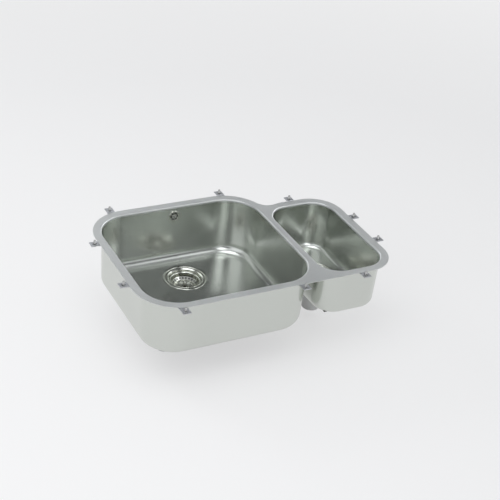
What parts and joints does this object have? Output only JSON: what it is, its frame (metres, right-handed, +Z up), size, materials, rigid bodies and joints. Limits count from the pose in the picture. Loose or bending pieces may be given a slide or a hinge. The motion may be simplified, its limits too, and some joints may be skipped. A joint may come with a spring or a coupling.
{
  "type": "undermount kitchen sink",
  "caption": "Undermount stainless kitchen sink: one large and one small bowl under a common flange, basket strainer wastes and a rear overflow with its hose.",
  "frame": {"origin": "on the flange's top face, in the middle of the bridge between the two bowls, level with the middle of the large bowl", "axes": "+X to the right, towards the small bowl, +Y to the back wall behind the sink, +Z up, out of the bowls"},
  "size_m": [0.714, 0.498, 0.266],
  "materials": {
    "bowl_steel": "satin brushed stainless steel",
    "flange_steel": "satin stainless steel",
    "polished_steel": "polished stainless steel",
    "basket_steel": "polished stainless steel, punched",
    "screw_steel": "turned stainless steel",
    "clip_steel": "zinc plated steel",
    "black_rubber": "smooth black rubber",
    "pad_rubber": "dark grey damping sheet",
    "white_plastic": "white moulded polypropylene",
    "hose_plastic": "pale grey ribbed hose"
  },
  "bodies": {
    "sink": {"clip_screws": "screw_steel", "fixing_clips": "clip_steel", "half_body_seal": "black_rubber", "half_bowl": "bowl_steel", "half_fixing_screw": "screw_steel", "half_flange_gasket": "black_rubber", "half_sound_pad": "pad_rubber", "half_strainer_cup": "polished_steel", "half_waste_body": "white_plastic", "hose_clip_screws": "screw_steel", "hose_clips": "clip_steel", "main_body_seal": "black_rubber", "main_bowl": "bowl_steel", "main_fixing_screw": "screw_steel", "main_flange_gasket": "black_rubber", "main_sound_pad": "pad_rubber", "main_strainer_cup": "polished_steel", "main_waste_body": "white_plastic", "overflow_body": "white_plastic", "overflow_gasket": "black_rubber", "overflow_hose": "hose_plastic", "overflow_rosette": "polished_steel", "overflow_screw": "screw_steel", "rim_flange": "flange_steel"},
    "main_strainer_basket": {"main_basket": "basket_steel", "main_basket_knob": "polished_steel", "main_basket_stopper": "black_rubber", "main_basket_nut": "screw_steel"},
    "half_strainer_basket": {"half_basket": "basket_steel", "half_basket_knob": "polished_steel", "half_basket_stopper": "black_rubber", "half_basket_nut": "screw_steel"}
  },
  "joints": [
    {"name": "main_basket_lift", "type": "slide", "parent": "sink", "child": "main_strainer_basket", "axis": [0, 0, 1], "range_m": [0, 0.215]},
    {"name": "half_basket_lift", "type": "slide", "parent": "sink", "child": "half_strainer_basket", "axis": [0, 0, 1], "range_m": [0, 0.19]}
  ]
}
